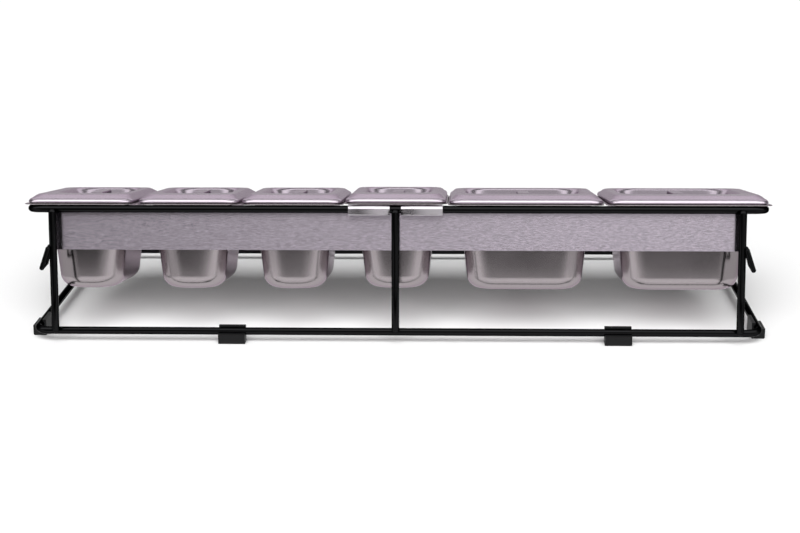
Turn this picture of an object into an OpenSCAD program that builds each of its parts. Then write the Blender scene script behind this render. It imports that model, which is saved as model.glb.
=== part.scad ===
// Counter-top condiment rack: a welded wire stand that holds a row of six
// drop-in pans with lift-off lids, tilted so that the far side sits lower.
// A long sheet panel hangs behind the near rail on two folded hook tabs.
// Each pan is one pressed piece, modelled as a bowl and the flat rim round it.
// Axes: X runs along the row, Y from the near rail to the far one, Z up.
// The origin is on the floor, under the middle of the stand.

/* [Pans] */
// Pitch of one small pan along the row
small_w = 108; // [96:1:130]
// Pitch of one large pan along the row
large_w = 162; // [140:1:200]
// Depth of every pan over its rim, near to far
pan_len = 176; // [150:1:210]
// Height of a pan below the underside of its rim
pan_h = 90; // [60:1:96]
// Sheet thickness of a pan
pan_wall = 0.9; // [0.6:0.1:1.4]
// Width of a pan's flat rim
rim_w = 12; // [11:0.5:16]
// Extra rim on the outer side of the two end pans
end_rim = 9; // [0:0.5:10]
// Outward shift of the two end pans
end_shift = 1.5; // [0:0.5:3]
// Corner radius of a rim
rim_corner_r = 13; // [8:1:18]
// Corner radius of a pan's body
body_corner_r = 27; // [18:1:32]
// Radius between a pan's wall and its bottom
bottom_r = 15; // [10:1:24]
// Inward slope of a pan's wall, in degrees
pan_taper = 6; // [3:0.5:7]

/* [Lids] */
// Height of a lid's flat top above the pan rim
lid_h = 8.8; // [8:0.2:11]
// Sheet thickness of a lid
lid_wall = 0.9; // [0.6:0.1:1.2]
// How far a lid's edge stays inside the pan's pitch
lid_inset = 1.5; // [0.5:0.5:2]
// Height of the upright skirt of a lid
skirt_h = 1.4; // [1:0.2:2]
// Bend radius between skirt and shoulder
lid_bend_r = 4; // [3:0.2:4.4]
// Width of the bend and the sloping shoulder on the near and far sides
shoulder_w = 12.3; // [9:0.1:12.5]
// Width of the bend and the sloping shoulder on the other two sides
side_shoulder_w = 6; // [5:0.2:8]
// Depth of the recess below the flat top
recess_depth = 9; // [8:0.5:13]
// Distance of the recess from a lid's near edge
recess_near = 44; // [30:1:60]
// Distance of the recess from a lid's far edge
recess_far = 19; // [15:1:30]
// Distance of the recess from the sides of a lid's pitch
recess_side = 17; // [17:1:22]
// Corner radius of a lid's edge
lid_corner_r = 13; // [8:1:20]
// Corner radius of the recess
recess_corner_r = 24; // [12:1:26]
// Outward shift of the two end lids on their pans
end_lid_shift = 1.5; // [0:0.5:2]
// Extra width on the outer side of the two end lids
end_lid_rim = 5; // [0:0.5:6]

/* [Lid handles] */
// Length of the strap handle over its feet
handle_len = 78; // [60:1:90]
// Width of the strap
handle_w = 12; // [9:0.5:16]
// Thickness of the strap
handle_t = 1.5; // [1:0.1:2]
// How far the strap stays below a lid's flat top
handle_low = 1; // [0.5:0.5:2]
// Length of each foot that is welded to the recess
handle_foot = 10; // [7:0.5:14]

/* [Wire stand] */
// Diameter of the stand's wire
wire_d = 8; // [6:0.2:9]
// Slope of the top ring, in degrees, far side lower
tilt = 10.5; // [4:0.5:12]
// Overhang of the pan rim beyond each rail's centre line
rim_over = 4; // [3:0.5:6]
// Bend radius at the ring corners, to the wire's centre
bend_r = 15; // [10:1:24]
// Length of a near leg between the rail and the base wire
leg_len = 128.4; // [118:0.2:160]
// Lean of the near legs, in degrees, foot outwards
leg_lean = 8.3; // [0:0.1:12]
// Distance of the end legs from the top ring's end wires
leg_in = 26; // [18:0.2:50]
// How deep a lapped leg is pressed into the wire by its weld
weld_in = 0.5; // [0.3:0.1:0.7]
// How far a leg's rounded end runs past the wire's centre line
leg_past = 1.2; // [0:0.2:2]
// Depth of the base ring between its wires
base_len = 314; // [230:1:340]
// How much shorter the base ring is than the top ring, at each end
base_in = 3.6; // [0:0.2:8]

/* [Rubber feet] */
// Length of a push-on foot along the wire
foot_len = 28; // [20:1:36]
// Reach of a foot's outer side from the wire's centre
foot_out = 8.2; // [6.5:0.1:10]
// Reach of a foot's inner side from the wire's centre
foot_back = 6; // [5.5:0.1:8]
// Height of the base wire's centre above the floor
wire_z = 12; // [9.5:0.5:16]
// Height of the inner side above the wire's centre
foot_up = 5.4; // [4:0.2:8]
// How far the outer lip stops below the wire's centre
lip_low = 1.2; // [0.4:0.2:2]
// Place of the left near foot, from the left end of the base ring
foot_left_in = 207; // [60:1:300]
// Place of the right near foot, from the right end of the base ring
foot_right_in = 147; // [60:1:300]
// Distance of the side feet from the near and far wires
foot_side_y = 33; // [32:1:90]

/* [Hanging panel] */
// Distance of the panel's ends from the ends of the row
panel_in = 21; // [18:1:80]
// How far the panel hangs below the rail's centre line
panel_drop = 43.2; // [30:0.2:60]
// Height of the panel's top edge over the rail's centre line
panel_up = 0.4; // [0:0.2:1.6]
// Sheet thickness of the panel
panel_t = 0.9; // [0.6:0.1:1.2]
// Corner radius of the panel
panel_corner_r = 2; // [1:0.5:6]
// Lean of the hanging panel, in degrees
panel_lean = 9.5; // [8:0.5:12]
// Distance of the hook tabs' outer edges from the sides of pan 4
tab_side = 5.2; // [4:0.2:16]
// Gap between the two hook tabs
tab_gap = 11.6; // [9:0.2:20]
// Thickness of a hook tab
tab_t = 0.8; // [0.5:0.1:1.2]
// Length of a tab's front flap below the rail's centre line
tab_front = 5.6; // [5:0.2:14]
// Length of a tab's back leg below the rail's centre line
tab_back = 5.4; // [4:0.2:28]
// Corner radius of a tab's front flap
tab_r = 1.5; // [0.5:0.5:2]

/* [Side hooks] */
// Wire diameter of the small hook on each end leg
hook_d = 5; // [3:0.5:6]
// How far a hook's ends sit below the rail's centre line
hook_drop = 41; // [30:1:60]
// Length of a hook's arms
hook_len = 21; // [14:1:30]
// Outward slope of a hook, in degrees
hook_slope = 18; // [16:1:30]
// Width of a hook's lower bar
hook_w = 24; // [18:1:30]
// Turn of a hook's ends round the leg, from its outer side, in degrees
hook_turn = 40; // [25:5:45]

/* [Hidden] */

$fn = 48;
seat_gap = 0.3;          // clearance under a loose piece
side_gap = 0.3;          // clearance between neighbouring rims
hook_clear = 0.2;        // clearance of a hook tab round the rail
clip_clear = 0.05;       // clearance of a rubber clip round the wire
seg = 6;                 // facets in each rounded corner of a pan or lid
wire_r = wire_d / 2;

// the row: four small pans, then two large ones, centred on pan 4
widths = [small_w, small_w, small_w, small_w, large_w, large_w];
row_len = 4 * small_w + 2 * large_w;
function row_start(i) = i == 0 ? -row_len / 2 : row_start(i - 1) + widths[i - 1];
function end_sign(i) = i == 0 ? -1 : i == 5 ? 1 : 0;
function pan_x(i) = row_start(i) + widths[i] / 2 + end_sign(i) * end_shift;

// the top ring's inside takes the row of pans exactly
ring_lx = row_len + wire_d;
rail_span = pan_len - 2 * rim_over;
base_lx = ring_lx - 2 * base_in;
lap = wire_d - weld_in;
leg_x = ring_lx / 2 - leg_in;
panel_len = row_len - 2 * panel_in;
tab_w = (widths[3] - tab_gap) / 2 - tab_side;    // the tabs share the width of pan 4

// side view: near base wire at y = 0, before the stand is centred
rail_y = leg_len * sin(leg_lean);
rail_z = wire_z + leg_len * cos(leg_lean);
hook_z = rail_z - hook_drop;
far_y = rail_y + rail_span * cos(tilt);
far_z = rail_z - rail_span * sin(tilt);
far_leg = norm([base_len - far_y, far_z - wire_z]);
far_lean = atan2(base_len - far_y, far_z - wire_z);
near_out = lap * cos(leg_lean) + wire_r + leg_past * sin(leg_lean);
shift_y = -(base_len + wire_r - near_out) / 2;

// heights on the slope, above the rail's centre line
rim_z = wire_r + seat_gap;
tab_top = wire_r + hook_clear + tab_t;
function seat_z(i) = i == 3 ? tab_top + seat_gap : rim_z;   // pan 4 sits on the tabs

black = [0.03, 0.03, 0.035];
steel = [0.72, 0.70, 0.72];

module stand() { translate([0, shift_y, 0]) children(); }
module slope() {
  stand() translate([0, rail_y, rail_z]) rotate([-tilt, 0, 0]) children();
}

// ---- lofted sheet pieces -------------------------------------------------

// one closed section: x range, y range, corner radius, height
function section(s) =
  let (a = (s[1] - s[0]) / 2, b = (s[3] - s[2]) / 2, cx = (s[0] + s[1]) / 2,
       cy = (s[2] + s[3]) / 2, r = max(0.5, min(s[4], 0.96 * min(a, b))))
  [for (q = [0:3]) let (sx = (q == 0 || q == 3) ? 1 : -1, sy = q < 2 ? 1 : -1)
    for (i = [0:seg]) let (t = 90 * q + 90 * i / seg)
      [cx + sx * (a - r) + r * cos(t), cy + sy * (b - r) + r * sin(t), s[5]]];

// skin through a list of sections: capped at both ends, or closed on itself as a frame
module loft(list, frame = false) {
  n = 4 * (seg + 1);
  m = len(list);
  pts = [for (s = list) each section(s)];
  caps = [[for (i = [n - 1:-1:0]) i], [for (i = [0:n - 1]) (m - 1) * n + i]];
  sides = [for (k = [0:frame ? m - 1 : m - 2], i = [0:n - 1])
    let (j = (i + 1) % n, u = k * n, v = ((k + 1) % m) * n)
      each [[u + i, u + j, v + j], [u + i, v + j, v + i]]];
  polyhedron(points = pts, faces = concat(frame ? [] : caps, sides), convexity = 6);
}

// section of pan i, inset o from its pitch rectangle; ends may reach further
function pan_sec(i, o, z, r, grow = 0) =
  [-widths[i] / 2 + o - (i == 0 ? grow : 0), widths[i] / 2 - o + (i == 5 ? grow : 0),
   -rim_over + o, pan_len - rim_over - o, r, z];

// bowl of a pan: inside floor, inside wall, edge under the rim, outside wall and bottom
module pan(i) {
  t = pan_wall;
  drop = pan_h - bottom_r;
  wall_o = rim_w + drop * tan(pan_taper);
  steps = 5;
  fillet = [for (k = [0:steps]) let (p = 90 * k / steps)
    [bottom_r * (1 - cos(p)), -pan_h + bottom_r * (1 - sin(p))]];
  outer = [for (f = fillet)
    pan_sec(i, wall_o + f[0], f[1], body_corner_r - 0.75 * f[0])];
  inner = [for (k = [steps:-1:0]) let (f = fillet[k])
    pan_sec(i, wall_o + f[0] + t, f[1] + t, body_corner_r - 0.75 * f[0] - t)];
  loft(concat(inner, [pan_sec(i, rim_w + t, 0, body_corner_r - t),
    pan_sec(i, rim_w, 0, body_corner_r)], outer));
}

// flat rim of a pan, its outer edge rounded and its inner edge bent down into the bowl
module pan_rim(i) {
  t = pan_wall;
  edge = side_gap / 2;
  loft([pan_sec(i, edge + 0.3, 0, rim_corner_r, end_rim),
    pan_sec(i, rim_w + t, 0, body_corner_r - t),
    pan_sec(i, rim_w + t - 0.3, t - 0.35, body_corner_r - t + 0.3),
    pan_sec(i, rim_w + t - 1.1, t, body_corner_r - t + 1),
    pan_sec(i, edge + 0.3, t, rim_corner_r, end_rim),
    pan_sec(i, edge, t / 2, rim_corner_r, end_rim)], frame = true);
}

// section of a lid's recess, inset p from its outline
function recess_sec(i, p, z, r) =
  [-widths[i] / 2 + recess_side + p, widths[i] / 2 - recess_side - p,
   -rim_over + recess_near + p, pan_len - rim_over - recess_far - p, r, z];

// section of a lid, inset ox at its sides and oy at its near and far edges
function lid_sec(i, ox, oy, z, r) =
  [-widths[i] / 2 + ox - (i == 0 ? end_lid_rim : 0), widths[i] / 2 - ox + (i == 5 ? end_lid_rim : 0),
   -rim_over + oy, pan_len - rim_over - oy, r, z];

// lid: recess outwards, down the shoulder, bend and skirt, then back underneath
module lid(i) {
  t = lid_wall;
  top = lid_h;
  floor_z = top - recess_depth;
  rr = recess_corner_r;
  lr = lid_corner_r;
  o = lid_inset;
  br = lid_bend_r;
  sw = shoulder_w;
  sx = side_shoulder_w;
  bend = [24, 48, 71];
  loft(concat(
    [recess_sec(i, 8, floor_z, rr - 6),
     recess_sec(i, 5.5, floor_z + 1, rr - 3),
     recess_sec(i, 1.6, top - 1.2, rr),
     recess_sec(i, 0, top, rr + 1),
     lid_sec(i, o + sx + 1, o + sw + 1.2, top, lr + 2),
     lid_sec(i, o + sx, o + sw, top - 0.25, lr + 2)],
    [for (k = [2:-1:0]) let (a = bend[k], d = br * (1 - cos(a)))
      lid_sec(i, o + d, o + d, skirt_h + br * sin(a), lr)],
    [lid_sec(i, o, o, skirt_h, lr),
     lid_sec(i, o, o, 0.3, lr),
     lid_sec(i, o + 0.3, o + 0.3, 0, lr),
     lid_sec(i, o + t, o + t, 0, lr - t),
     lid_sec(i, o + t, o + t, skirt_h, lr - t)],
    [for (a = bend) let (d = br - (br - t) * cos(a))
      lid_sec(i, o + d, o + d, skirt_h + (br - t) * sin(a), lr - t)],
    [lid_sec(i, o + sx + 0.4, o + sw + 0.3, top - 0.25 - t, lr + 1.6),
     lid_sec(i, o + sx + 1.2, o + sw + 1.4, top - t, lr + 1.6),
     recess_sec(i, -0.6, top - t, rr + 1.6),
     recess_sec(i, 0.8, top - 1.8 - t / 2, rr + 0.8),
     recess_sec(i, 4.8, floor_z + 0.9 - t, rr - 2.4),
     recess_sec(i, 7.6, floor_z - t, rr - 5.6)]));
}

// strap handle: two feet on the recess floor and a raised bridge
module strap() {
  rise = recess_depth - handle_low;
  run = 6;
  a = handle_len / 2;
  b = a - handle_foot;
  c = b - run;
  rotate([90, 0, 90]) linear_extrude(handle_w, center = true)
    polygon([[-a, 0], [-b + 0.6, 0], [-c + 0.6, rise - handle_t], [c - 0.6, rise - handle_t],
      [b - 0.6, 0], [a, 0], [a, handle_t], [b, handle_t], [c, rise], [-c, rise],
      [-b, handle_t], [-a, handle_t]]);
}

module pan_at(i) { color(steel) slope() translate([pan_x(i), 0, seat_z(i)]) pan(i); }
module pan_rim_at(i) { color(steel) slope() translate([pan_x(i), 0, seat_z(i)]) pan_rim(i); }
module lid_spot(i) {
  slope() translate([pan_x(i) + end_sign(i) * end_lid_shift, 0,
    seat_z(i) + pan_wall + seat_gap]) children();
}
module lid_at(i) { color(steel) lid_spot(i) lid(i); }
module handle_at(i) {
  color(steel) lid_spot(i)
    translate([0, (recess_near + pan_len - recess_far) / 2 - rim_over, lid_h - recess_depth]) strap();
}

// ---- wire stand ------------------------------------------------------------

// closed rectangle of wire with bent corners, sized to its centre line
module wire_ring(lx, ly) {
  for (s = [-1, 1]) {
    translate([0, s * ly / 2, 0]) rotate([0, 90, 0])
      cylinder(d = wire_d, h = lx - 2 * bend_r, center = true);
    translate([s * lx / 2, 0, 0]) rotate([90, 0, 0])
      cylinder(d = wire_d, h = ly - 2 * bend_r, center = true);
  }
  for (q = [0:3]) {
    sx = (q == 0 || q == 3) ? 1 : -1;
    sy = q < 2 ? 1 : -1;
    translate([sx * (lx / 2 - bend_r), sy * (ly / 2 - bend_r), 0]) rotate([0, 0, 90 * q])
      rotate_extrude(angle = 90) translate([bend_r, 0]) circle(d = wire_d);
  }
}

module top_ring() {
  color(black) slope() translate([0, rail_span / 2, 0]) wire_ring(ring_lx, rail_span);
}
module base_ring() {
  color(black) stand() translate([0, base_len / 2, wire_z]) wire_ring(base_lx, base_len);
}

// straight wire with rounded ends, from the floor end upwards along +Z
module rod(h) {
  translate([0, 0, -leg_past + wire_r]) cylinder(d = wire_d, h = h + 2 * leg_past - wire_d);
  translate([0, 0, -leg_past + wire_r]) sphere(d = wire_d);
  translate([0, 0, h + leg_past - wire_r]) sphere(d = wire_d);
}
// a near leg laps the near side of the rail and of the base wire
module near_leg(x) {
  color(black) stand() translate([x, 0, wire_z]) rotate([-leg_lean, 0, 0])
    translate([0, -lap, 0]) rod(leg_len);
}
// a far leg laps the under side of the far rail, and splays out to the far base wire
module far_leg(x) {
  color(black) stand() translate([x, base_len, wire_z]) rotate([far_lean, 0, 0])
    translate([0, -lap, 0]) rod(far_leg);
}

// wire loop with both ends on the outer side of an end leg, widening downwards
module side_hook(s) {
  up = (hook_z - wire_z) / cos(leg_lean);
  reach = (wire_d + hook_d) / 2 - weld_in / 2;
  arm_x = reach * cos(hook_turn);
  arm_y = reach * sin(hook_turn);
  bar_y = (hook_w - hook_d) / 2;
  spread = asin((bar_y - arm_y) / hook_len);
  color(black) stand()
    translate([s * leg_x, up * sin(leg_lean) - lap * cos(leg_lean), hook_z + lap * sin(leg_lean)])
    rotate([0, -s * hook_slope, 0]) translate([s * arm_x, 0, 0]) {
      for (k = [-1, 1]) translate([0, k * arm_y, 0]) rotate([k * spread, 0, 0]) {
        translate([0, 0, -hook_len]) cylinder(d = hook_d, h = hook_len);
        translate([0, 0, -hook_len]) sphere(d = hook_d);
        sphere(d = hook_d);
      }
      translate([0, 0, -hook_len * cos(spread)]) rotate([90, 0, 0])
        cylinder(d = hook_d - 0.2, h = 2 * bar_y, center = true);
    }
}

// ---- rubber feet -----------------------------------------------------------

// push-on foot on a wire along X at the origin: an open cradle, its outer side towards -Y
module foot() {
  r = 1.5;
  wall_y = wire_r * 0.55;
  rotate([90, 0, 90]) linear_extrude(foot_len, center = true) difference() {
    union() {
      translate([-foot_out + r, -wire_z]) square([foot_out + foot_back - 2 * r, wire_z]);
      translate([-foot_out, -wire_z + r]) square([foot_out + foot_back, wire_z - r]);
      for (y = [-foot_out + r, foot_back - r]) translate([y, -wire_z + r]) circle(r = r);
      translate([wall_y, 0]) square([foot_back - wall_y, foot_up]);
    }
    circle(r = wire_r + clip_clear);
    translate([-2 * foot_out, -lip_low]) square([2 * foot_out, 2 * wire_z]);
  }
}
module near_foot(x) { color(black) stand() translate([x, 0, wire_z]) foot(); }
module side_foot(s, y) {
  color(black) stand() translate([s * base_lx / 2, y, wire_z]) rotate([0, 0, s * 90]) foot();
}

// ---- hanging panel ---------------------------------------------------------

module hang() {
  stand() translate([0, rail_y, rail_z]) rotate([-panel_lean, 0, 0]) children();
}
// upright rounded sheet in the XZ plane, its near face at y = 0
module sheet(x0, x1, z0, z1, r, t) {
  translate([0, t, 0]) rotate([90, 0, 0]) linear_extrude(t) {
    translate([x0 + r, z0]) square([x1 - x0 - 2 * r, z1 - z0]);
    translate([x0, z0 + r]) square([x1 - x0, z1 - z0 - 2 * r]);
    for (x = [x0 + r, x1 - r], z = [z0 + r, z1 - r]) translate([x, z]) circle(r = r);
  }
}
module panel() {
  color(steel) hang() translate([0, tab_top, 0])
    sheet(-panel_len / 2, panel_len / 2, -panel_drop, panel_up, panel_corner_r, panel_t);
}
// folded tab: back leg against the panel, over the rail, short flap in front
module panel_tab(s) {
  r_in = wire_r + hook_clear;
  color(steel) hang() translate([pan_x(3) + s * (tab_gap + tab_w) / 2, 0, 0]) {
    rotate([90, 0, 90]) linear_extrude(tab_w, center = true) {
      difference() {
        circle(r = tab_top);
        circle(r = r_in);
        translate([-2 * tab_top, -4 * tab_top]) square([4 * tab_top, 4 * tab_top]);
      }
      translate([r_in, -tab_back]) square([tab_t, tab_back]);
      translate([-tab_top, -tab_front / 2]) square([tab_t, tab_front / 2]);
    }
    translate([0, -tab_top, 0])
      sheet(-tab_w / 2, tab_w / 2, -tab_front, -0.1, tab_r, tab_t);
  }
}

// ---- pieces ------------------------------------------------------------------

top_ring();
base_ring();
near_leg(-leg_x);  // near_leg_left
near_leg(pan_x(3));  // near_leg_centre
near_leg(leg_x);  // near_leg_right
far_leg(-leg_x);  // far_leg_left
far_leg(pan_x(3));  // far_leg_centre
far_leg(leg_x);  // far_leg_right
side_hook(-1);  // side_hook_left
side_hook(1);  // side_hook_right
near_foot(foot_left_in - base_lx / 2);  // foot_near_left
near_foot(base_lx / 2 - foot_right_in);  // foot_near_right
side_foot(-1, foot_side_y);  // foot_side_near_left
side_foot(1, foot_side_y);  // foot_side_near_right
side_foot(-1, base_len - foot_side_y);  // foot_side_far_left
side_foot(1, base_len - foot_side_y);  // foot_side_far_right
panel();
panel_tab(-1);  // panel_tab_left
panel_tab(1);  // panel_tab_right
pan_at(0);  // pan_1
pan_at(1);  // pan_2
pan_at(2);  // pan_3
pan_at(3);  // pan_4
pan_at(4);  // pan_5
pan_at(5);  // pan_6
pan_rim_at(0);  // pan_rim_1
pan_rim_at(1);  // pan_rim_2
pan_rim_at(2);  // pan_rim_3
pan_rim_at(3);  // pan_rim_4
pan_rim_at(4);  // pan_rim_5
pan_rim_at(5);  // pan_rim_6
lid_at(0);  // lid_1
lid_at(1);  // lid_2
lid_at(2);  // lid_3
lid_at(3);  // lid_4
lid_at(4);  // lid_5
lid_at(5);  // lid_6
handle_at(0);  // lid_handle_1
handle_at(1);  // lid_handle_2
handle_at(2);  // lid_handle_3
handle_at(3);  // lid_handle_4
handle_at(4);  // lid_handle_5
handle_at(5);  // lid_handle_6
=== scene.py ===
# %% [markdown]
# # Condiment rack in brushed steel and black wire
# The object is a welded wire stand with a row of drop-in pans, a lid on each
# pan, and a long steel panel that hangs over the near rail. The solids come
# from CAD and keep their places and sizes. This lesson dresses them: wires and
# sheet pieces are worked out again with numpy as fine surfaces, and every
# finish is a node material in real millimetres.

# %% Load the frame
import math
import bpy
import numpy as np
from mathutils import Matrix, Vector


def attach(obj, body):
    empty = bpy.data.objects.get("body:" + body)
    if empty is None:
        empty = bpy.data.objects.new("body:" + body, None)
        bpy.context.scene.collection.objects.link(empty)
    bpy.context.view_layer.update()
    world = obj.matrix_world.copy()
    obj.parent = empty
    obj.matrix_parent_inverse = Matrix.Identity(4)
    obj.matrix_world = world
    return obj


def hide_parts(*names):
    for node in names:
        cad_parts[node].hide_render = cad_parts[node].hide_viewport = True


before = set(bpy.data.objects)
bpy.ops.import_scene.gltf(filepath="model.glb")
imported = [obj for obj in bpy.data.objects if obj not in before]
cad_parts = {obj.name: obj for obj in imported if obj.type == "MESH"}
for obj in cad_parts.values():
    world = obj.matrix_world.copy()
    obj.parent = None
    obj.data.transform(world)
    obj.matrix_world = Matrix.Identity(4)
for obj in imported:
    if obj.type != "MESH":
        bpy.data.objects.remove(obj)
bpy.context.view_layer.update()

# %% [markdown]
# ## Sizes
# The same named sizes as the CAD model, in millimetres and degrees. A piece
# that is drawn again here takes its place from them, so that it lies exactly on
# its solid. Slope coordinates start on the near rail's centre line: x runs
# along the row, y down the slope to the far rail, and z square to it.

# %% Pans and lids
MM = 0.001

# pitches along the row; loose pieces seat and stand side by side with a small gap
WIDTHS = [108, 108, 108, 108, 162, 162]
PANS = len(WIDTHS)
ROW = sum(WIDTHS)
SEAT_GAP = 0.3
SIDE_GAP = 0.3

# a pan's rim lies flat and its walls taper; END_RIM widens the rim of an end pan
PAN_LEN = 176
PAN_H = 90
PAN_WALL = 0.9
RIM_W = 12
RIM_OVER = 4
RIM_CORNER = 13
BODY_CORNER = 27
BOTTOM_R = 15
TAPER = 6
LIP_BEND = 3.2
END_RIM = 9
END_SHIFT = 1.5

# a lid's skirt, bend and shoulder lead up to its top; the recess is measured from
# the near, far and side edges
LID_H = 8.8
LID_WALL = 0.9
LID_INSET = 1.5
LID_CORNER = 13
LID_BEND = 4
SKIRT_H = 1.4
SHOULDER_W = 12.3
SIDE_SHOULDER = 6
RECESS = 9
RECESS_NEAR = 44
RECESS_FAR = 19
RECESS_SIDE = 17
RECESS_CORNER = 24
END_LID_SHIFT = 1.5
END_LID_RIM = 5

# %% Stand, tabs and panel
# legs lap the outside of the wires they join and run on a little past them
WIRE_D = 8
WIRE_R = WIRE_D / 2
WIRE_Z = 12
BEND_R = 15
TILT = 10.5
LEG_LEN = 128.4
LEG_LEAN = 8.3
LEG_IN = 26
LEG_PAST = 1.2
WELD_IN = 0.5
BASE_LEN = 314
BASE_IN = 3.6

# a tab goes over the rail, with clearance, down to TAB_FRONT and TAB_BACK
TAB_T = 0.8
TAB_CLEAR = 0.2
TAB_GAP = 11.6
TAB_SIDE = 5.2
TAB_FRONT = 5.6
TAB_BACK = 5.4
TAB_W = (WIDTHS[3] - TAB_GAP) / 2 - TAB_SIDE
PANEL_LEAN = 9.5

# %% Places worked out from them
def sin(degrees):
    """Sine of an angle in degrees."""
    return math.sin(math.radians(degrees))

def cos(degrees):
    """Cosine of an angle in degrees."""
    return math.cos(math.radians(degrees))

RAIL_SPAN = PAN_LEN - 2 * RIM_OVER
RING_X = ROW + WIRE_D
BASE_X = RING_X - 2 * BASE_IN
LAP = WIRE_D - WELD_IN
LEG_X = RING_X / 2 - LEG_IN
RAIL_Y = LEG_LEN * sin(LEG_LEAN)
RAIL_Z = WIRE_Z + LEG_LEN * cos(LEG_LEAN)
FAR_Y = RAIL_Y + RAIL_SPAN * cos(TILT)
FAR_Z = RAIL_Z - RAIL_SPAN * sin(TILT)
FAR_LEG = math.hypot(BASE_LEN - FAR_Y, FAR_Z - WIRE_Z)
FAR_LEAN = math.degrees(math.atan2(BASE_LEN - FAR_Y, FAR_Z - WIRE_Z))

# the origin is midway between the outside of a near leg's foot and of the far bar
NEAR_OUT = LAP * cos(LEG_LEAN) + WIRE_R + LEG_PAST * sin(LEG_LEAN)
SHIFT_Y = -(BASE_LEN + WIRE_R - NEAR_OUT) / 2

# an end pan is shifted outwards; pan 4 sits higher, because it rests on the tabs
STARTS = np.cumsum([0] + WIDTHS[:-1]) - ROW / 2
END_SIGN = [-1, 0, 0, 0, 0, 1]
PAN_X = [STARTS[i] + WIDTHS[i] / 2 + END_SIGN[i] * END_SHIFT for i in range(PANS)]
TAB_TOP = WIRE_R + TAB_CLEAR + TAB_T
SEAT_Z = [TAB_TOP + SEAT_GAP if i == 3 else WIRE_R + SEAT_GAP for i in range(PANS)]
print("far legs lean", round(FAR_LEAN, 1), "degrees; stand shift", round(SHIFT_Y, 2))

# %% [markdown]
# ## Camera
# A long lens, a little above the rack and a little to the right of its middle,
# looking down about 16 degrees. The camera's three axes are worked out from
# yaw, pitch and roll, and go straight into its matrix.

# %% Place the camera
YAW = -0.0370
PITCH = 0.2823
ROLL = -0.0068
CAMERA_AT = (0.0657, -1.79283, 0.55889)
FOCAL_PX = 1655.1
PICTURE_W = 800
SENSOR_W = 36

ahead = Vector((math.sin(YAW) * math.cos(PITCH),
                math.cos(YAW) * math.cos(PITCH),
                -math.sin(PITCH)))
level_right = Vector((math.cos(YAW), -math.sin(YAW), 0))
level_up = level_right.cross(ahead)
right = level_right * math.cos(ROLL) + level_up * math.sin(ROLL)
up = level_up * math.cos(ROLL) - level_right * math.sin(ROLL)

lens = bpy.data.cameras.new("studio_camera")
lens.sensor_width = SENSOR_W
lens.lens = FOCAL_PX / PICTURE_W * SENSOR_W
camera = bpy.data.objects.new("studio_camera", lens)
camera.matrix_world = Matrix((
    (right.x, up.x, -ahead.x, CAMERA_AT[0]),
    (right.y, up.y, -ahead.y, CAMERA_AT[1]),
    (right.z, up.z, -ahead.z, CAMERA_AT[2]),
    (0, 0, 0, 1)))
bpy.context.collection.objects.link(camera)
bpy.context.scene.camera = camera
bpy.context.scene.view_settings.view_transform = "Standard"
print("lens", round(lens.lens, 2), "mm")

# %% [markdown]
# ## Helpers
# A surface here is a grid of points: one direction runs round a ring, the other
# along a profile. The grid becomes a mesh in one call, with faces as whole
# arrays. Sharp edges are marked by angle, so that folds stay crisp and bends
# stay smooth.

# %% Mesh helpers
SHEET_CRISP = 50
WIRE_CRISP = 60

def mesh_object(name, points, faces, body, replaced, crisp):
    """Mesh from points in mm and index faces, riding on a body. An edge is sharp
    where its two faces turn by more than crisp degrees."""
    mesh = bpy.data.meshes.new(name)
    mesh.from_pydata((np.asarray(points) * MM).tolist(), [], faces)
    mesh.update()
    mesh.polygons.foreach_set("use_smooth", np.ones(len(mesh.polygons), bool))
    mesh.set_sharp_from_angle(angle=math.radians(crisp))
    piece = bpy.data.objects.new(name, mesh)
    bpy.context.collection.objects.link(piece)
    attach(piece, body)
    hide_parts(*replaced)
    return piece

def grid_faces(rows, cols, close_rows=False):
    """Quads of a rows by cols grid whose columns close into a ring. Point (k, i)
    has number k * cols + i, and its quad goes on to the next column and row."""
    k = np.arange(rows if close_rows else rows - 1)[:, None]
    i = np.arange(cols)[None, :]
    after_i = (i + 1) % cols
    after_k = (k + 1) % rows
    corners = [k * cols + i, k * cols + after_i, after_k * cols + after_i, after_k * cols + i]
    return np.stack(corners, -1).reshape(-1, 4).tolist()

def shell(name, rings, body, replaced, crisp):
    """Skin through rings of points (rows, cols, 3), closed by a flat cap at each end."""
    rows, cols = rings.shape[:2]
    faces = grid_faces(rows, cols)
    faces.append(list(range(cols - 1, -1, -1)))
    faces.append([(rows - 1) * cols + i for i in range(cols)])
    return mesh_object(name, rings.reshape(-1, 3), faces, body, replaced, crisp)

def hung_from_rail(p, lean):
    """Turn points about the near rail by lean degrees, y towards minus z, then
    move them to where the rail is."""
    x, y, z = p[..., 0], p[..., 1], p[..., 2]
    return np.stack([x, SHIFT_Y + RAIL_Y + y * cos(lean) + z * sin(lean),
                     RAIL_Z - y * sin(lean) + z * cos(lean)], -1)

# %% Rounded rectangle
ARC_STEPS = 14
SIDE_SHARES = [0.03, 0.5, 0.97]
LEAST_CORNER = 0.5
MOST_CORNER = 0.96
CORNER_SIGNS = [(1, 1), (-1, 1), (-1, -1), (1, -1)]

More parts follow.
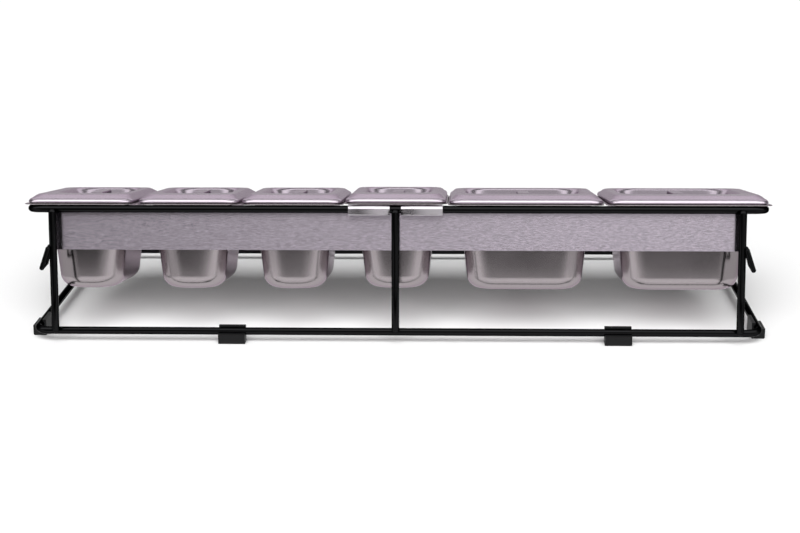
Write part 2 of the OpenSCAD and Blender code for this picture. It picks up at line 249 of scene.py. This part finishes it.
def rounded_rings(x0, x1, y0, y1, r, z):
    """Each ring is four quarter circles of radius r joined by straight sides;
    three extra points on each side keep the flat walls flat in the shading.
    A corner takes at most 0.96 of half the shorter side."""
    x0, x1, y0, y1, r, z = (np.atleast_1d(np.asarray(v, float))
                            for v in (x0, x1, y0, y1, r, z))
    short_half = np.minimum(x1 - x0, y1 - y0) / 2
    r = np.maximum(LEAST_CORNER, np.minimum(r, MOST_CORNER * short_half))
    t = np.linspace(0, math.pi / 2, ARC_STEPS + 1)
    quarters = []
    for q, (sx, sy) in enumerate(CORNER_SIGNS):
        cx = np.where(sx > 0, x1 - r, x0 + r)[:, None]
        cy = np.where(sy > 0, y1 - r, y0 + r)[:, None]
        a = t + q * math.pi / 2
        x = cx + r[:, None] * np.cos(a)
        y = cy + r[:, None] * np.sin(a)
        quarters.append(np.stack([x, y], -1))
    share = np.array(SIDE_SHARES)[None, :, None]
    parts = []
    for q in range(4):
        here = quarters[q]
        after = quarters[(q + 1) % 4]
        parts.append(here)
        parts.append(here[:, -1:] + (after[:, :1] - here[:, -1:]) * share)
    ring = np.concatenate(parts, 1)
    heights = np.broadcast_to(z[:, None, None], ring.shape[:2] + (1,))
    return np.concatenate([ring, heights], -1)

def smooth_turn(p0, p1, p2, n):
    """Quadratic curve from p0 to p2 that leaves along p0-p1 and arrives along p1-p2:
    the weights of the three points are (1 - t) squared, 2 t (1 - t) and t squared."""
    t = np.linspace(0, 1, n)[:, None]
    return (1 - t) ** 2 * np.array(p0) + 2 * t * (1 - t) * np.array(p1) + t ** 2 * np.array(p2)

# %% [markdown]
# ## Finishes
# Stainless pans and lids leave the press with a satin, slightly smudged skin;
# the panel is cut from sheet that was brushed along its length; the stand is
# powder coated, and the feet are matte rubber. Each finish is a small node tree
# on Object coordinates, so that its scale is in real millimetres.

# %% Node helpers and colours
FACTOR = 0
COLOUR_A = 6
COLOUR_B = 7
COLOUR_OUT = 2
FLOAT_A = 2
FLOAT_B = 3

def linear(code):
    """sRGB hex code to linear RGBA."""
    c = np.array([int(code[i:i + 2], 16) for i in (0, 2, 4)]) / 255
    c = np.where(c <= 0.04045, c / 12.92, ((c + 0.055) / 1.055) ** 2.4)
    return (*c.tolist(), 1.0)

def scaled(code, share):
    """The colour's linear light times share, held at white."""
    return tuple(min(1, share * v) for v in linear(code)[:3]) + (1.0,)

def add(mat, kind, inputs=None, **settings):
    """Add a node, set its properties, then fill or link its inputs by name or index."""
    node = mat.node_tree.nodes.new(kind)
    for key, value in settings.items():
        setattr(node, key, value)
    for key, value in (inputs or {}).items():
        if isinstance(value, bpy.types.NodeSocket):
            mat.node_tree.links.new(value, node.inputs[key])
        else:
            node.inputs[key].default_value = value
    return node

def new_finish(name):
    """Empty node material, and Object coordinates to draw on."""
    mat = bpy.data.materials.new(name)
    mat.use_nodes = True
    mat.node_tree.nodes.clear()
    place = add(mat, "ShaderNodeTexCoord").outputs["Object"]
    return mat, place

def finish_with(mat, shader):
    """Give the material its output and send the shader to it."""
    out = add(mat, "ShaderNodeOutputMaterial")
    mat.node_tree.links.new(shader.outputs[0], out.inputs["Surface"])
    return mat

def gloss_from(mat, noise, low, high):
    """Roughness that runs from low to high as the noise runs from 0.3 to 0.7."""
    return add(mat, "ShaderNodeMapRange", {"Value": noise.outputs["Fac"], "From Min": 0.3,
        "From Max": 0.7, "To Min": low, "To Max": high}).outputs[0]

def bump_from(mat, noise, strength, height):
    """Normal of a skin that rises by height metres, times strength, with the noise."""
    return add(mat, "ShaderNodeBump", {"Height": noise.outputs["Fac"], "Strength": strength,
        "Distance": height}).outputs[0]

# %% Satin stainless steel
def satin_steel(name, shade, rough, smudge=0.03):
    """Pressed stainless sheet: a metal, softly polished, with faint hand smudges
    about 60 mm across and a fine tooth of about 0.5 mm."""
    mat, place = new_finish(name)
    wide = add(mat, "ShaderNodeTexNoise", {"Vector": place, "Scale": 16.0, "Detail": 2.0})
    fine = add(mat, "ShaderNodeTexNoise", {"Vector": place, "Scale": 2200.0, "Detail": 1.0})
    tint = add(mat, "ShaderNodeMix", {FACTOR: wide.outputs["Fac"],
        COLOUR_A: linear(shade), COLOUR_B: scaled(shade, 0.95)}, data_type="RGBA")
    steel = add(mat, "ShaderNodeBsdfPrincipled", {"Base Color": tint.outputs[COLOUR_OUT],
        "Roughness": gloss_from(mat, wide, rough - smudge, rough + smudge),
        "Normal": bump_from(mat, fine, 0.02, 0.0001)})
    steel.inputs["Metallic"].default_value = 1.0
    steel.inputs["Specular Tint"].default_value = linear("CDC2CC")
    return finish_with(mat, steel)

# The pans take the same satin steel as the lids, painted darker: a painted shade for the pans,
# which hang below the lids and the panel.
pan_steel_painted_darker = satin_steel("pan_steel_painted_shade", "AAA2A5", rough=0.2)
lid_satin = satin_steel("satin_lid_steel", "C9BEC9", rough=0.23)
polished = satin_steel("polished_stainless_steel", "D6D0D6", rough=0.27, smudge=0.02)

# %% Brushed stainless sheet
def brushed_sheet(name, shade):
    """Sheet brushed along X: streaks about 5 mm long and 0.9 mm apart in colour,
    gloss and height. Mirror images blur across the brushing and stay clear along it."""
    mat, place = new_finish(name)
    runs = add(mat, "ShaderNodeMapping", {"Vector": place, "Scale": (200.0, 1150.0, 1150.0)})
    streak = add(mat, "ShaderNodeTexNoise", {"Vector": runs.outputs[0], "Scale": 1.0,
        "Detail": 4.0, "Roughness": 0.6})
    depth = add(mat, "ShaderNodeMapRange", {"Value": streak.outputs["Fac"], "From Min": 0.36,
        "From Max": 0.64})
    tint = add(mat, "ShaderNodeMix", {FACTOR: depth.outputs[0],
        COLOUR_A: scaled(shade, 0.87), COLOUR_B: scaled(shade, 1.11)}, data_type="RGBA")
    across = add(mat, "ShaderNodeCombineXYZ", {"Z": 1.0})
    steel = add(mat, "ShaderNodeBsdfPrincipled", {"Base Color": tint.outputs[COLOUR_OUT],
        "Roughness": gloss_from(mat, streak, 0.24, 0.27),
        "Normal": bump_from(mat, streak, 0.008, 0.0001), "Tangent": across.outputs[0]})
    steel.inputs["Metallic"].default_value = 1.0
    steel.inputs["Anisotropic"].default_value = 1.0
    return finish_with(mat, steel)

brushed = brushed_sheet("brushed_stainless_sheet", "CDC3CF")

# %% Powder coat and rubber
def powder_coat(name, shade, edge):
    """Black coat over wire: a very dark metal whose edge tint holds back the
    sheen at grazing angles, over an orange peel of about 0.9 mm."""
    mat, place = new_finish(name)
    peel = add(mat, "ShaderNodeTexNoise", {"Vector": place, "Scale": 1100.0, "Detail": 2.0})
    skin = add(mat, "ShaderNodeBsdfPrincipled", {"Roughness": gloss_from(mat, peel, 0.08, 0.12),
        "Normal": bump_from(mat, peel, 0.03, 0.0002)})
    skin.inputs["Base Color"].default_value = linear(shade)
    skin.inputs["Specular Tint"].default_value = linear(edge)
    skin.inputs["Metallic"].default_value = 1.0
    return finish_with(mat, skin)

def moulded_rubber(name, shade):
    """Dull rubber over a fine grain of about 0.5 mm, with half the usual shine."""
    mat, place = new_finish(name)
    grain = add(mat, "ShaderNodeTexNoise", {"Vector": place, "Scale": 2000.0, "Detail": 2.0})
    skin = add(mat, "ShaderNodeBsdfPrincipled", {"Roughness": gloss_from(mat, grain, 0.57, 0.63),
        "Normal": bump_from(mat, grain, 0.15, 0.0002)})
    skin.inputs["Base Color"].default_value = linear(shade)
    skin.inputs["Specular IOR Level"].default_value = 0.25
    return finish_with(mat, skin)

powder = powder_coat("black_powder_coat", "1F1F20", "A8A8A8")
rubber = moulded_rubber("black_rubber", "0D0D0E")

# %% [markdown]
# ## Pans
# Each pan is deep-drawn from one blank: a flat rim, a tight bend, walls that
# taper inwards, big corner radii and a soft turn into the bottom. Its profile
# runs from the inside floor over the rim to the outside bottom, and a rounded
# rectangle is swept along it.

# %% Draw the pans
WALL_STATIONS = [LIP_BEND + 1, 20, 45, 64]
TURN_STEPS = 13
LIP_STEPS = 6
TURN_SHRINK = 0.75
FLAT_IN = 6

def pan_rings(i, o, z, r, grow):
    """Rings inset by o from the pan's pitch rectangle; grow widens the outer end."""
    o, grow = np.asarray(o, float), np.asarray(grow, float)
    w = WIDTHS[i] / 2
    return rounded_rings(-w + o - grow * (i == 0), w - o + grow * (i == PANS - 1),
                         -RIM_OVER + o, PAN_LEN - RIM_OVER - o, r, z)

def pan_piece(i):
    """Profile columns are inset, height, corner radius and end growth. The turn into
    the bottom is a circular arc: inset by R (1 - cos p), height -H + R (1 - sin p).
    The inside repeats the outside, one sheet thickness further in and up."""
    t = PAN_WALL
    taper = math.tan(math.radians(TAPER))
    wall_o = RIM_W + (PAN_H - BOTTOM_R) * taper
    p = np.radians(np.linspace(TAPER * 0.6, 90, TURN_STEPS))
    turn_o = wall_o + BOTTOM_R * (1 - np.cos(p))
    turn_z = -PAN_H + BOTTOM_R * (1 - np.sin(p))
    turn_r = BODY_CORNER - TURN_SHRINK * (turn_o - wall_o)
    outer = np.stack([turn_o, turn_z, turn_r, 0 * p], -1)
    wall = np.array([[RIM_W + d * taper, -d, BODY_CORNER, 0] for d in WALL_STATIONS])
    lip_out = smooth_turn([RIM_W - LIP_BEND, 0, BODY_CORNER + 1, 0],
                          [RIM_W, 0, BODY_CORNER, 0],
                          [RIM_W + LIP_BEND * taper, -LIP_BEND, BODY_CORNER, 0], LIP_STEPS)
    sheet = np.array([t, t, -t, 0])
    inner = (outer + sheet)[::-1]
    wall_in = (wall + sheet)[::-1]
    lip_in = smooth_turn([RIM_W + t + (LIP_BEND - t) * taper, -LIP_BEND + t, BODY_CORNER - t, 0],
                         [RIM_W + t, t, BODY_CORNER, 0],
                         [RIM_W + t - LIP_BEND - 0.6, t, BODY_CORNER + 1, 0], LIP_STEPS)
    # out along the rim's top, round its broken cut edge, and back underneath
    g = SIDE_GAP / 2
    edge = np.array([
        [RIM_W - FLAT_IN, t, BODY_CORNER - 4, 1],
        [g + 3, t, RIM_CORNER + 3, END_RIM - 1],
        [g + 0.5, t, RIM_CORNER, END_RIM],
        [g + 0.15, t - 0.12, RIM_CORNER, END_RIM],
        [g, t / 2, RIM_CORNER, END_RIM],
        [g + 0.15, 0.12, RIM_CORNER, END_RIM],
        [g + 0.5, 0, RIM_CORNER, END_RIM],
        [g + 3, 0, RIM_CORNER + 3, END_RIM - 1],
        [RIM_W - FLAT_IN, 0, BODY_CORNER - 4, 1]])
    profile = np.concatenate([inner, wall_in, lip_in, edge, lip_out, wall, outer])
    rings = pan_rings(i, *profile.T) + np.array([PAN_X[i], 0, SEAT_Z[i]])
    piece = shell(f"drop_in_pan_{i + 1}", hung_from_rail(rings, TILT), f"pan_{i + 1}_body",
                  (f"pan_{i + 1}", f"pan_rim_{i + 1}"), SHEET_CRISP)
    # the pans' steel carries a painted shade: it is painted darker than the lids' steel
    piece.data.materials.append(pan_steel_painted_darker)
    return piece

pans = [pan_piece(i) for i in range(PANS)]
print("pans", len(pans), "faces each", len(pans[0].data.polygons))

# %% [markdown]
# ## Lids
# A lid is pressed from one sheet: an upright skirt that rests on the pan's rim,
# a sloping shoulder, a flat top and a recess with round ends. Its profile runs
# from the recess floor outwards, down the skirt, and back underneath. The
# recess rings have their own outline, so the flat top between is just a ruling.

# %% Draw the lids
BEND_START = 71
BEND_RINGS = 14
INSIDE_ANGLES = (24, 48)
DISH_STEPS = 7
BROW_STEPS = 8
SKIRT_EDGE = [(0, 1.2), (0.25, 0.85), (0.7, 0.5), (1.2, 0.2), (1.7, 0.03), (1.9, 0.1)]

def recess_rings(i, p, z, r):
    """Rings inset by p from the outline of the lid's recess."""
    p = np.asarray(p, float)
    w = WIDTHS[i] / 2 - RECESS_SIDE - p
    return rounded_rings(-w, w, RECESS_NEAR - RIM_OVER + p,
                         PAN_LEN - RIM_OVER - RECESS_FAR - p, r, z)

def lid_rings(i, ox, oy, z, r):
    """Rings inset ox at the lid's sides and oy at its near and far edges."""
    ox, oy = np.asarray(ox, float), np.asarray(oy, float)
    w = WIDTHS[i] / 2
    return rounded_rings(-w + ox - END_LID_RIM * (i == 0), w - ox + END_LID_RIM * (i == PANS - 1),
                         -RIM_OVER + oy, PAN_LEN - RIM_OVER - oy, r, z)

def lid_piece(i):
    """Columns of a lid ring are side inset, near and far inset, height and corner
    radius; columns of a recess ring are inset, height and corner radius. Both faces
    of the bend are arcs about one centre: inset by R - r cos a, height R sin a."""
    t = LID_WALL
    top = LID_H
    floor = top - RECESS
    recess_r = RECESS_CORNER
    r = LID_CORNER
    sx = LID_INSET + SIDE_SHOULDER
    sy = LID_INSET + SHOULDER_W
    # into the recess floor, and over the recess's edge on to the flat top
    dish = smooth_turn([10.5, floor, recess_r - 8], [7.6, floor, recess_r - 5],
                       [5.6, floor + 2.4, recess_r - 3], DISH_STEPS)
    brow = smooth_turn([2.4, top - 2.4, recess_r], [0.4, top, recess_r],
                       [-2.2, top, recess_r + 1], BROW_STEPS)
    # from the flat top over a small crease to the sloping shoulder
    crease = np.array([
        [sx + 1.6, sy + 1.8, top, r + 2],
        [sx + 1.1, sy + 1.3, top, r + 2],
        [sx + 0.9, sy + 0.95, top - 0.05, r + 2],
        [sx + 0.4, sy + 0.15, top - 0.5, r + 2],
        [sx, sy - 0.3, top - 0.62, r + 2],
        [sx - 0.6, sy - 1.2, top - 0.85, r + 2]])
    # from the shoulder down into the skirt, round its rolled edge and up the inside
    a = np.radians(np.linspace(BEND_START, 0, BEND_RINGS))
    over = LID_INSET + LID_BEND * (1 - np.cos(a))
    bend = np.stack([over, over, SKIRT_H + LID_BEND * np.sin(a), 0 * a + r], -1)
    edge = np.array([[LID_INSET + d, LID_INSET + d, z, r - d]
                     for d, z in SKIRT_EDGE + [(t + 0.2, 0.9), (t, SKIRT_H)]])
    b = np.radians([*INSIDE_ANGLES, BEND_START])
    inside = LID_BEND - t
    under_o = LID_INSET + (LID_BEND - inside * np.cos(b))
    back = np.stack([under_o, under_o, SKIRT_H + inside * np.sin(b), 0 * b + r - t], -1)
    # the underside: below the flat top, then below the recess
    roof = np.array([[sx + 0.4, sy + 0.3, top - 0.25 - t, r + 1.6],
                     [sx + 1.2, sy + 1.4, top - t, r + 1.6]])
    under = np.array([
        [-0.6, top - t, recess_r + 1.6],
        [0.8, top - 1.8 - t / 2, recess_r + 0.8],
        [4.8, floor + 0.9 - t, recess_r - 2.4],
        [8.4, floor - t, recess_r - 6.2]])
    rings = np.concatenate([
        recess_rings(i, *np.concatenate([dish, brow]).T),
        lid_rings(i, *np.concatenate([crease, bend, edge, back, roof]).T),
        recess_rings(i, *under.T)])
    x = PAN_X[i] + END_SIGN[i] * END_LID_SHIFT
    rings = rings + np.array([x, 0, SEAT_Z[i] + PAN_WALL + SEAT_GAP])
    piece = shell(f"recessed_lid_{i + 1}", hung_from_rail(rings, TILT), f"lid_{i + 1}_body",
                  (f"lid_{i + 1}",), SHEET_CRISP)
    piece.data.materials.append(lid_satin)

for i in range(PANS):
    lid_piece(i)

# %% [markdown]
# ## Wire
# Bent and straight wire is a circle swept along a path. The frame of the sweep
# stays in the plane of the bend, so nothing twists.

# %% Sweep wires
WIRE_SIDES = 20
BEND_STEPS = 12
END_ANGLES = np.radians(np.array([86, 70, 50, 30, 12]))

def unit(v):
    """Vectors of length 1 along the last axis."""
    return v / np.linalg.norm(v, axis=-1, keepdims=True)

def round_ends(path):
    """Path and radii of a wire whose ends are half spheres inside its length: at
    angle a the radius is R cos a, and the ring lies R sin a out from the centre."""
    a = END_ANGLES
    start, end = unit(path[1] - path[0]), unit(path[-1] - path[-2])
    head = path[0] + start * WIRE_R - start * WIRE_R * np.sin(a)[:, None]
    tail = path[-1] - end * WIRE_R + end * WIRE_R * np.sin(a[::-1])[:, None]
    between = [path[:1] + start * WIRE_R, path[1:-1], path[-1:] - end * WIRE_R]
    radii = [WIRE_R * np.cos(a), np.full(len(path), WIRE_R), WIRE_R * np.cos(a[::-1])]
    return np.concatenate([head, *between, tail]), np.concatenate(radii)

def tube(path, normal, close):
    """Ring of points round each path point, in the plane of the fixed normal and
    the normal crossed with the path's direction. The direction at a point is the
    mean of the steps before and after it."""
    path = np.asarray(path, float)
    radii = np.full(len(path), WIRE_R)
    if not close:
        path, radii = round_ends(path)
    onward = np.roll(path, -1, 0) - path
    behind = path - np.roll(path, 1, 0)
    if not close:
        onward[-1] = behind[-1]
        behind[0] = onward[0]
    tangent = unit(unit(onward) + unit(behind))
    side = unit(np.cross(tangent, unit(np.asarray(normal, float))))
    over = np.cross(side, tangent)
    t = np.linspace(0, 2 * math.pi, WIRE_SIDES, endpoint=False)[None, :, None]
    spokes = np.cos(t) * side[:, None] + np.sin(t) * over[:, None]
    return path[:, None] + radii[:, None, None] * spokes

def ring_path(lx, ly):
    """Centre line of a rounded rectangle in the plane z = 0, counter-clockwise."""
    t = np.linspace(0, math.pi / 2, BEND_STEPS)
    out = []
    for q, (sx, sy) in enumerate(CORNER_SIGNS):
        a = t + q * math.pi / 2
        x = sx * (lx / 2 - BEND_R) + BEND_R * np.cos(a)
        y = sy * (ly / 2 - BEND_R) + BEND_R * np.sin(a)
        out.append(np.stack([x, y, 0 * a], -1))
    return np.concatenate(out)

def coat_wire(piece):
    """Powder coat for a piece of the stand."""
    piece.data.materials.append(powder)

def closed_wire(name, path, normal, node):
    """Wire ring of the stand, in the place of one CAD node."""
    rings = tube(path, normal, close=True)
    faces = grid_faces(*rings.shape[:2], close_rows=True)
    coat_wire(mesh_object(name, rings.reshape(-1, 3), faces, "stand", (node,), WIRE_CRISP))

def open_wire(name, path, normal, node):
    """Straight wire of the stand with round ends, in the place of one CAD node."""
    coat_wire(shell(name, tube(path, normal, close=False), "stand", (node,), WIRE_CRISP))

top = ring_path(RING_X, RAIL_SPAN) + np.array([0, RAIL_SPAN / 2, 0])
closed_wire("pan_ring_wire", hung_from_rail(top, TILT), (0, sin(TILT), cos(TILT)), "top_ring")
base = ring_path(BASE_X, BASE_LEN) + np.array([0, SHIFT_Y + BASE_LEN / 2, WIRE_Z])
closed_wire("base_ring_wire", base, (0, 0, 1), "base_ring")

# %% Stand the legs
NEAR_STOPS = (40, 90)
FAR_STOPS = (60, 110)

def leg(name, node, foot, lean, out, length, stops):
    """Straight leg, lapped outside the base wire at foot. It rises along lean, and
    starts and ends a little past its welds; stops are points on the way, in mm."""
    start = foot + out * LAP
    along = [-LEG_PAST, *stops, length + LEG_PAST]
    open_wire(name, [start + lean * d for d in along], out, node)

for where, x in (("left", -LEG_X), ("centre", 0), ("right", LEG_X)):
    leg(f"near_leg_wire_{where}", f"near_leg_{where}", np.array([x, SHIFT_Y, WIRE_Z]),
        np.array([0, sin(LEG_LEAN), cos(LEG_LEAN)]),
        np.array([0, -cos(LEG_LEAN), sin(LEG_LEAN)]), LEG_LEN, NEAR_STOPS)
    leg(f"far_leg_wire_{where}", f"far_leg_{where}", np.array([x, SHIFT_Y + BASE_LEN, WIRE_Z]),
        np.array([0, -sin(FAR_LEAN), cos(FAR_LEAN)]),
        np.array([0, -cos(FAR_LEAN), -sin(FAR_LEAN)]), FAR_LEG, FAR_STOPS)

# %% [markdown]
# ## Hook tabs
# A tab is a strip of sheet folded over the rail. The fold's centre line runs up
# behind the rail, over it as a half circle and down in front, where the lip
# turns in a little. A thin rectangle with broken edges travels along that line.

# %% Fold the tabs
TAB_BREAK = 0.2
FOLD_STEPS = 25
TAB_LIP = [(0, -1.4), (0, -3), (0, -4.6), (0, -5.1), (0.02, -5.4), (0.08, -TAB_FRONT)]
LIP_NARROWS = (0, 0.15, 0.5)

def tab_piece(side_name, sign):
    """Rings across the strip: eight points of a rectangle with broken edges, turned
    to stand square to the fold line; the last rings narrow to round the lip's corners."""
    r = WIRE_R + TAB_CLEAR + TAB_T / 2
    a = np.radians(np.linspace(0, 180, FOLD_STEPS))
    arc = np.stack([r * np.cos(a), r * np.sin(a)], -1)
    back = np.array([[r, -TAB_BACK], [r, -TAB_BACK / 2]])
    lip = np.array([[-r + d, z] for d, z in TAB_LIP])
    line = np.concatenate([back, arc, lip])
    run = unit(np.gradient(line, axis=0))
    normal = np.stack([run[:, 1], -run[:, 0]], -1)
    half = np.full(len(line), TAB_W / 2)
    half[-3:] -= LIP_NARROWS
    t, c = TAB_T / 2, TAB_BREAK
    corners = np.array([(1, -t + c), (1, t - c), (1, t), (-1, t),
                        (-1, t - c), (-1, -t + c), (-1, -t), (1, -t)])
    trim = np.array([0, 0, c, c, 0, 0, c, c])
    middle = PAN_X[3] + sign * (TAB_GAP + TAB_W) / 2
    x = middle + corners[:, 0] * (half[:, None] - trim)
    y = line[:, :1] + normal[:, :1] * corners[:, 1]
    z = line[:, 1:] + normal[:, 1:] * corners[:, 1]
    rings = hung_from_rail(np.stack([x, y, z], -1), PANEL_LEAN)
    piece = shell(f"rail_tab_{side_name}", rings, "hanging_panel",
                  (f"panel_tab_{side_name}",), SHEET_CRISP)
    piece.data.materials.append(polished)

tab_piece("left", -1)
tab_piece("right", 1)

# %% [markdown]
# ## CAD pieces that stay
# The panel, feet, side hooks and lid handles keep their CAD solids, and only
# change their material. Their names tell which finish they take.

# %% Dress the CAD nodes
def refinish(node, mat):
    """Put one finish in the place of a CAD node's own material."""
    node.data.materials.clear()
    node.data.materials.append(mat)

refinish(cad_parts["panel"], brushed)
for name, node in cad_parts.items():
    if name.startswith("foot"):
        refinish(node, rubber)
    if name.startswith("side_hook"):
        refinish(node, powder)
    if name.startswith("lid_handle"):
        refinish(node, lid_satin)

# %% [markdown]
# ## Studio
# A pale floor that runs out to white, under one wide soft sun. The world is
# white to the camera alone, and dim to every other ray. Steel shows what it
# mirrors, so its tones come from glowing cards that only mirror rays see, all
# in metres. By the law of reflection the panel looks back at the wall in front
# of it, the lids at the far floor and wall, and the pans at the near floor.

# %% Floor, world and sun
FLOOR_HALF = 6
WORLD_DIM = 0.14
WORLD_MIRRORED = 0.16
SUN_HEIGHT = 40
SUN_WIDTH = 60
SUN_STRENGTH = 4.9

def flat(x, y, z):
    """Corners of a level rectangle from a pair of x, a pair of y and a height."""
    return [(x[0], y[0], z), (x[1], y[0], z), (x[1], y[1], z), (x[0], y[1], z)]

def upright(x, y, z):
    """Corners of an upright rectangle from a pair of x, a distance and a pair of z."""
    return [(x[0], y, z[0]), (x[1], y, z[0]), (x[1], y, z[1]), (x[0], y, z[1])]

def quad(name, corners, mat):
    """One four-cornered face of the set, in metres."""
    mesh = bpy.data.meshes.new(name)
    mesh.from_pydata(corners, [], [(0, 1, 2, 3)])
    plane = bpy.data.objects.new(name, mesh)
    plane.data.materials.append(mat)
    bpy.context.collection.objects.link(plane)
    return plane

floor_mat = bpy.data.materials.new("pale_floor")
floor_mat.use_nodes = True
floor_mat.node_tree.nodes.clear()
finish_with(floor_mat, add(floor_mat, "ShaderNodeBsdfDiffuse", {"Color": linear("F4F4F4")}))
span = (-FLOOR_HALF, FLOOR_HALF)
floor = quad("studio_floor", flat(span, span, 0), floor_mat)

world = bpy.data.worlds.new("studio_world")
bpy.context.scene.world = world
world.use_nodes = True
world.node_tree.nodes.clear()
rays = add(world, "ShaderNodeLightPath")
mirrored = add(world, "ShaderNodeMapRange", {"Value": rays.outputs["Is Glossy Ray"],
    "To Min": WORLD_DIM, "To Max": WORLD_MIRRORED})
level = add(world, "ShaderNodeMix", {FACTOR: rays.outputs["Is Camera Ray"],
    FLOAT_A: mirrored.outputs[0], FLOAT_B: 1.0}, data_type="FLOAT")
sky = add(world, "ShaderNodeBackground", {"Color": (1, 1, 1, 1), "Strength": level.outputs[0]})
world_out = add(world, "ShaderNodeOutputWorld")
world.node_tree.links.new(sky.outputs[0], world_out.inputs["Surface"])

sun = bpy.data.lights.new("high_key", "SUN")
sun.energy = SUN_STRENGTH
sun.angle = math.radians(SUN_WIDTH)
sun_lamp = bpy.data.objects.new("high_key", sun)
towards_sun = Vector((0, -cos(SUN_HEIGHT), sin(SUN_HEIGHT)))
sun_lamp.rotation_euler = towards_sun.to_track_quat("Z", "Y").to_euler()
sun_lamp.visible_glossy = False
bpy.context.collection.objects.link(sun_lamp)

# %% Mirrored cards
GLOW_LEFT = -0.8
GLOW_RIGHT = 0.3

def card(name, corners, low, high=None):
    """Glowing card that only mirror rays see. Its glow runs from low at the left
    mark to high at the right mark, or is low all over."""
    mat, place = new_finish(name)
    across = add(mat, "ShaderNodeSeparateXYZ", {"Vector": place})
    glow = add(mat, "ShaderNodeMapRange", {"Value": across.outputs["X"],
        "From Min": GLOW_LEFT, "From Max": GLOW_RIGHT, "To Min": low,
        "To Max": low if high is None else high})
    finish_with(mat, add(mat, "ShaderNodeEmission", {"Strength": glow.outputs[0]}))
    plane = quad(name, corners, mat)
    plane.visible_camera = False
    plane.visible_shadow = False
    plane.visible_diffuse = False

OVER_X = (-1.6, 1.6)
NEAR_X = (-0.8, 0.8)
FAR_X = (-5.0, 5.0)

# above the row
card("overhead_card", flat(OVER_X, (-0.75, 0.12), 1.1), 0.43)
card("back_overhead_card", flat(OVER_X, (0.12, 0.5), 1.1), 1.3)
card("low_front_card", flat(OVER_X, (-0.52, -0.17), 0.36), 2.2)

# on the floor: in front, beside and under the stand
card("near_floor_card", flat(NEAR_X, (-0.62, -0.38), 0.002), 0.55)
for side_name, sign in (("left", -1), ("right", 1)):
    card(f"side_floor_card_{side_name}", flat((sign * 0.4, sign * 3), (-0.62, 0.45), 0.001), 0.6)
card("under_floor_card", flat((-0.5, 0.5), (-0.2, 0.02), 0.002), 0.95)
card("front_floor_card", flat(NEAR_X, (-1.72, -0.62), 0.002), 0.02)

# the wall in front, brighter to the right, and the set behind
card("front_wall_card", upright((-2.2, 2.2), -1.75, (0.0, 1.0)), 0.06, 0.62)
card("far_floor_card", flat(FAR_X, (0.45, 6.0), 0.002), 0.6)
card("far_wall_card", upright(FAR_X, 6.0, (0.0, 1.6)), 0.6)
card("far_roof_card", upright(FAR_X, 6.0, (1.6, 5.0)), 1.05)
